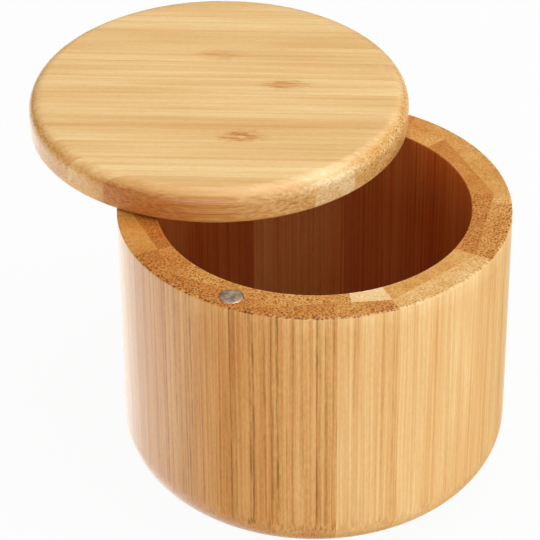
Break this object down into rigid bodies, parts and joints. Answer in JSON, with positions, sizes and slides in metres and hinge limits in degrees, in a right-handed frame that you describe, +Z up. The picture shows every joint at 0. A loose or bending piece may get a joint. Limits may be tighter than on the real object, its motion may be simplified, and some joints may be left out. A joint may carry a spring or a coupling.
{
  "type": "salt box with swivel lid",
  "caption": "Round wooden salt box built from mitred staves, with a flat round lid that swings sideways on an upright pin and is held shut by magnets.",
  "frame": {"origin": "centre of the base, on the surface the box stands on", "axes": "+Z up along the body's axis, -Y towards the front where the catch magnet is, +Y towards the pivot pin. The lid is at its pictured open place; it closes at +63 degrees on lid_swivel"},
  "size_m": [0.1403, 0.1247, 0.085],
  "materials": {
    "bamboo_brown": "oiled brown bamboo, end grain full of dark fibre dots",
    "bamboo_amber": "oiled amber bamboo",
    "bamboo_honey": "oiled honey bamboo",
    "bamboo_pale": "oiled pale bamboo",
    "steel": "ground",
    "nickel": "satin nickel plate",
    "nylon": "natural"
  },
  "bodies": {
    "box": {"outer_ply_1_left": "bamboo_brown", "outer_ply_1_right": "bamboo_honey", "outer_ply_2": "bamboo_honey", "outer_ply_3": "bamboo_amber", "outer_ply_4": "bamboo_honey", "outer_ply_5": "bamboo_amber", "outer_ply_6": "bamboo_honey", "outer_ply_7_left": "bamboo_honey", "outer_ply_7_right": "bamboo_brown", "outer_ply_8_left": "bamboo_brown", "outer_ply_8_right": "bamboo_amber", "outer_ply_9_left": "bamboo_brown", "outer_ply_9_right": "bamboo_amber", "outer_ply_10": "bamboo_pale", "inner_ply_1": "bamboo_brown", "inner_ply_2": "bamboo_amber", "inner_ply_3": "bamboo_honey", "inner_ply_4": "bamboo_amber", "inner_ply_5": "bamboo_honey", "inner_ply_6": "bamboo_honey", "inner_ply_7_left": "bamboo_amber", "inner_ply_7_right": "bamboo_honey", "inner_ply_8": "bamboo_honey", "inner_ply_9_left": "bamboo_amber", "inner_ply_9_right": "bamboo_pale", "inner_ply_10": "bamboo_pale", "floor_strip_1": "bamboo_honey", "floor_strip_2": "bamboo_pale", "floor_strip_3": "bamboo_pale", "floor_strip_4": "bamboo_pale", "floor_strip_5": "bamboo_honey", "floor_strip_6": "bamboo_honey", "floor_strip_7": "bamboo_pale", "floor_strip_8": "bamboo_honey", "floor_strip_9": "bamboo_honey", "floor_strip_10": "bamboo_pale", "floor_strip_11": "bamboo_pale", "pivot_pin": "steel", "pivot_washer": "nylon", "rim_magnet": "nickel"},
    "lid": {"lid_strip_1": "bamboo_pale", "lid_strip_2": "bamboo_honey", "lid_strip_3": "bamboo_honey", "lid_strip_4": "bamboo_pale", "lid_strip_5": "bamboo_pale", "lid_strip_6": "bamboo_pale", "lid_strip_7": "bamboo_honey", "lid_strip_8": "bamboo_honey", "lid_strip_9": "bamboo_pale", "lid_strip_10": "bamboo_honey", "lid_strip_11": "bamboo_honey", "lid_strip_12": "bamboo_pale", "lid_strip_13": "bamboo_pale", "lid_magnet": "nickel"}
  },
  "joints": [
    {"name": "lid_swivel", "type": "hinge", "parent": "box", "child": "lid", "pos_m": [0, 0.0452, 0.076], "axis": [0, 0, 1], "continuous": true}
  ]
}
